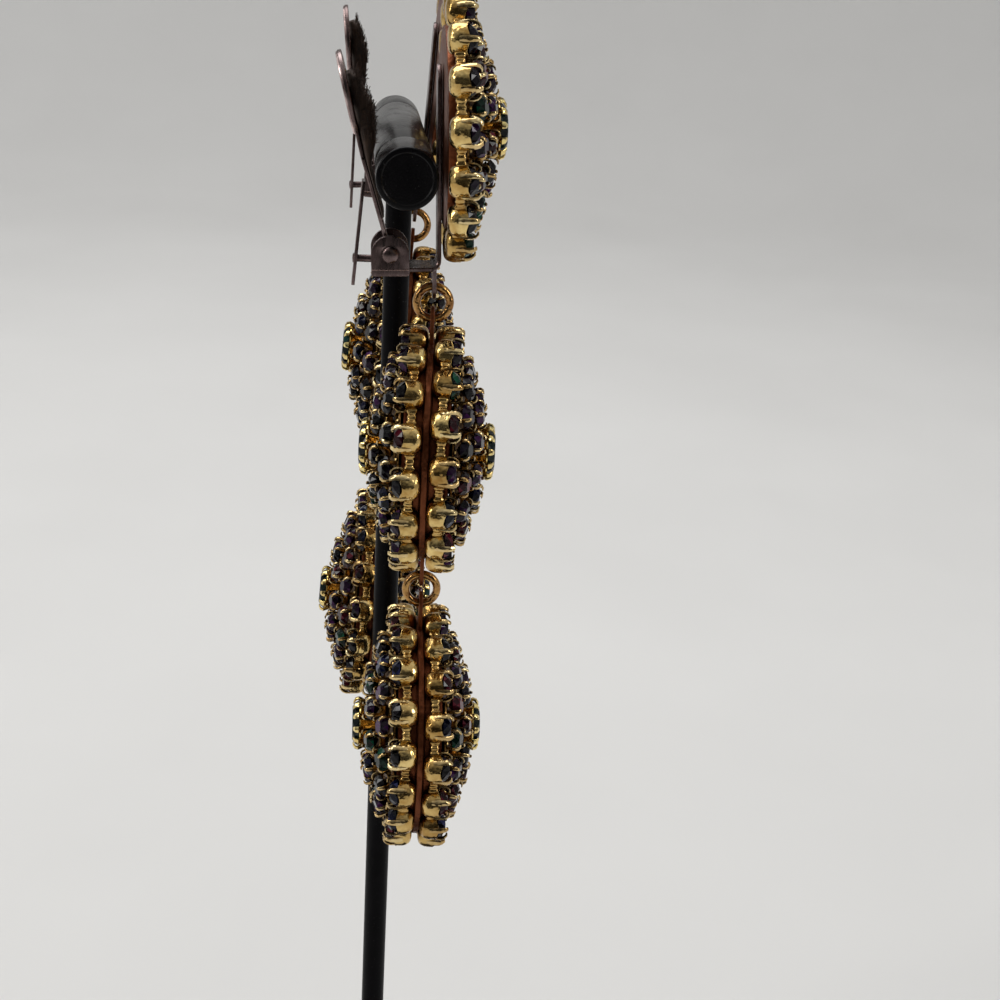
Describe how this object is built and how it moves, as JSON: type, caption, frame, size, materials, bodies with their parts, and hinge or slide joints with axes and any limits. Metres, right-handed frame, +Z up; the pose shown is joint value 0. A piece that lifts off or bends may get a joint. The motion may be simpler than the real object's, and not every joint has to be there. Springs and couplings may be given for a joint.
{
  "type": "pair of chandelier clip earrings on a display stand",
  "caption": "Pair of long clip-on chandelier earrings with domed stone-set tops and double-sided drops, hung on the crossbar of a small T-shaped display stand.",
  "frame": {"origin": "middle of the stand base's underside", "axes": "+Z up along the stand's rod, the crossbar along X, the earrings' fronts face -Y"},
  "size_m": [0.08, 0.08, 0.2083],
  "materials": {
    "antique_gold": "polished antique gold plate, with dark stones in the cups",
    "brown_gold": "aged brown-gold plate",
    "dark_steel": "dark plated steel",
    "amethyst_stones": "tiers of faceted dark purple and green glass stones",
    "dark_stone": "faceted near-black glass",
    "brown_cushion": "worn brown felt",
    "satin_black": "satin black paint"
  },
  "bodies": {
    "stand_and_clips": {"left_clip_base": "dark_steel", "left_hinge_pin": "dark_steel", "left_top_centre": "dark_stone", "left_top_plate": "brown_gold", "left_top_stones": "antique_gold", "left_top_tiers": "amethyst_stones", "right_clip_base": "dark_steel", "right_hinge_pin": "dark_steel", "right_top_centre": "dark_stone", "right_top_plate": "brown_gold", "right_top_stones": "antique_gold", "right_top_tiers": "amethyst_stones", "stand_base": "satin_black", "stand_cap_left": "satin_black", "stand_cap_right": "satin_black", "stand_crossbar": "satin_black", "stand_rod": "satin_black"},
    "left_lever": {"left_lever": "dark_steel", "left_lever_spring": "dark_steel", "left_pad": "brown_cushion"},
    "left_middle": {"left_middle_back_centre": "dark_stone", "left_middle_back_stones": "antique_gold", "left_middle_back_tiers": "amethyst_stones", "left_middle_core": "brown_gold", "left_middle_front_centre": "dark_stone", "left_middle_front_stones": "antique_gold", "left_middle_front_tiers": "amethyst_stones", "left_upper_link": "brown_gold"},
    "left_lower": {"left_lower_back_centre": "dark_stone", "left_lower_back_stones": "antique_gold", "left_lower_back_tiers": "amethyst_stones", "left_lower_core": "brown_gold", "left_lower_front_centre": "dark_stone", "left_lower_front_stones": "antique_gold", "left_lower_front_tiers": "amethyst_stones", "left_lower_link": "brown_gold"},
    "right_lever": {"right_lever": "dark_steel", "right_lever_spring": "dark_steel", "right_pad": "brown_cushion"},
    "right_middle": {"right_middle_back_centre": "dark_stone", "right_middle_back_stones": "antique_gold", "right_middle_back_tiers": "amethyst_stones", "right_middle_core": "brown_gold", "right_middle_front_centre": "dark_stone", "right_middle_front_stones": "antique_gold", "right_middle_front_tiers": "amethyst_stones", "right_upper_link": "brown_gold"},
    "right_lower": {"right_lower_back_centre": "dark_stone", "right_lower_back_stones": "antique_gold", "right_lower_back_tiers": "amethyst_stones", "right_lower_core": "brown_gold", "right_lower_front_centre": "dark_stone", "right_lower_front_stones": "antique_gold", "right_lower_front_tiers": "amethyst_stones", "right_lower_link": "brown_gold"}
  },
  "joints": [
    {"name": "left_lever_hinge", "type": "hinge", "parent": "stand_and_clips", "child": "left_lever", "pos_m": [-0.0186, 0.00145, 0.17464], "axis": [-1, 0, 0], "range_deg": [0, 50], "stiffness_Nm_per_rad": 0.02, "springref_deg": -51.57},
    {"name": "left_middle_swing", "type": "hinge", "parent": "stand_and_clips", "child": "left_middle", "pos_m": [-0.0186, -0.00411, 0.17045], "axis": [1, 0, 0], "range_deg": [-20, 20]},
    {"name": "left_lower_swing", "type": "hinge", "parent": "left_middle", "child": "left_lower", "pos_m": [-0.0186, -0.00411, 0.13185], "axis": [1, 0, 0], "range_deg": [-20, 20]},
    {"name": "right_lever_hinge", "type": "hinge", "parent": "stand_and_clips", "child": "right_lever", "pos_m": [0.0186, 0.00221, 0.17811], "axis": [-1, 0, 0], "range_deg": [0, 50], "stiffness_Nm_per_rad": 0.02, "springref_deg": -51.57},
    {"name": "right_middle_swing", "type": "hinge", "parent": "stand_and_clips", "child": "right_middle", "pos_m": [0.0186, -0.00295, 0.17343], "axis": [1, 0, 0], "range_deg": [-24, 16]},
    {"name": "right_lower_swing", "type": "hinge", "parent": "right_middle", "child": "right_lower", "pos_m": [0.0186, -0.00026, 0.13492], "axis": [1, 0, 0], "range_deg": [-20, 20]}
  ]
}
